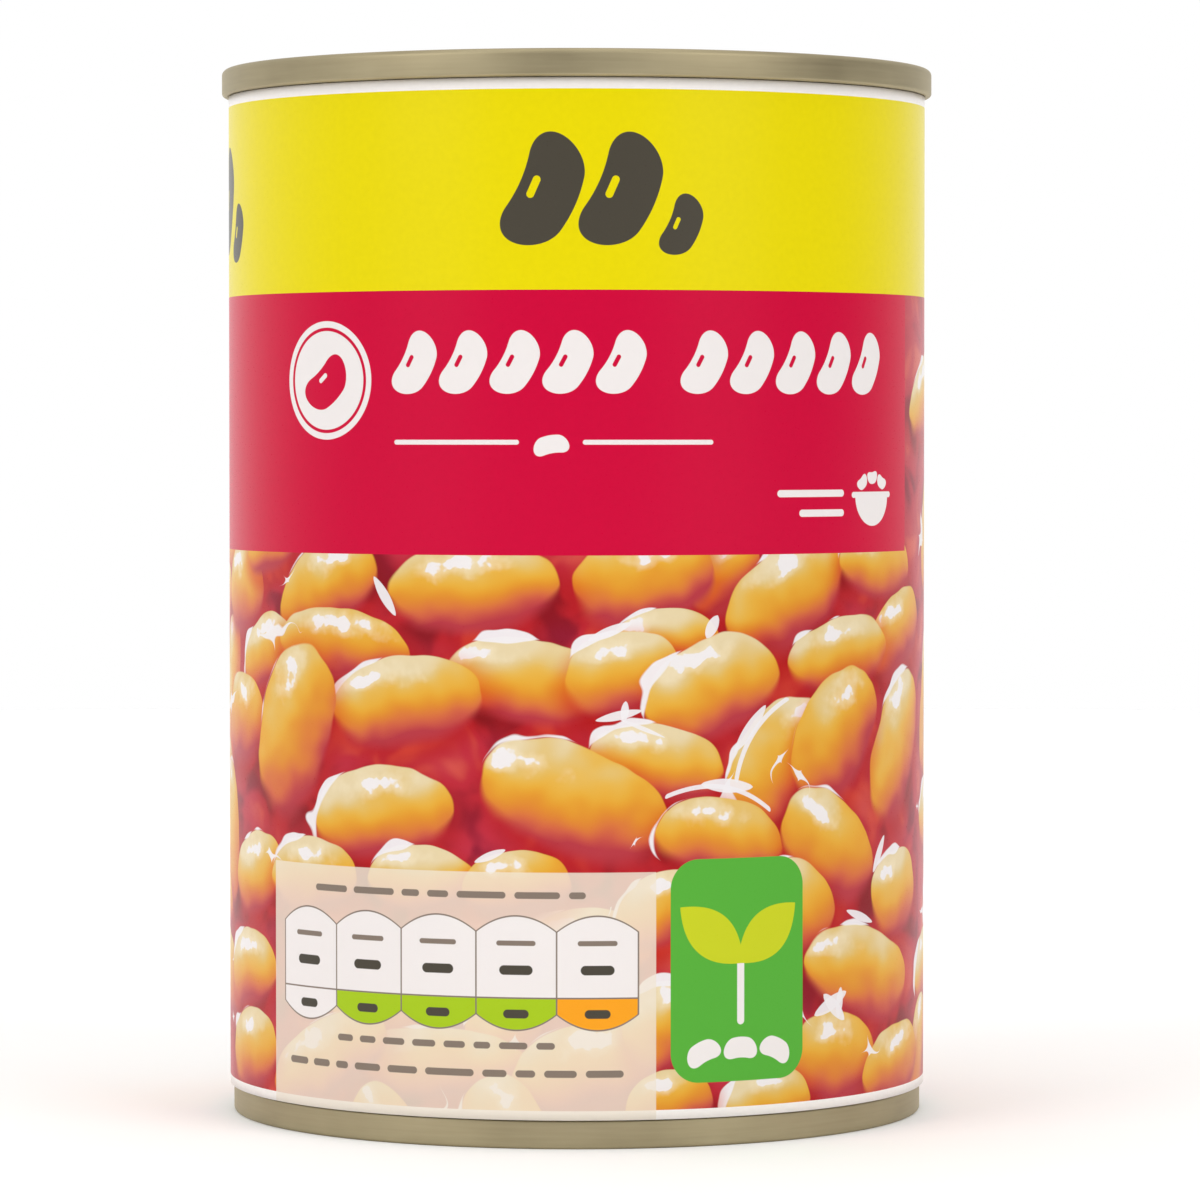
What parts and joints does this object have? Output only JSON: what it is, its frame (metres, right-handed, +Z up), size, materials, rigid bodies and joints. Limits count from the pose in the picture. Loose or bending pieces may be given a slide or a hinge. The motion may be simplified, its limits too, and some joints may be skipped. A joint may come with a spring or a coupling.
{
  "type": "food can",
  "caption": "Shut cylindrical food can: necked steel body, seamed stamped ends and a printed paper label glued round it in a lap.",
  "frame": {"origin": "middle of the circle that the can stands on, at the foot of the bottom seam", "axes": "+Z up along the can's axis; -Y is the front of the label"},
  "size_m": [0.0752, 0.0752, 0.11],
  "materials": {
    "tinplate": "satin, lacquered khaki grey",
    "label_paper": "coated paper, semi-gloss, printed in fields of colour"
  },
  "bodies": {
    "root": {"can_body": "tinplate", "top_end": "tinplate", "base_end": "tinplate", "label": "label_paper"}
  },
  "joints": []
}
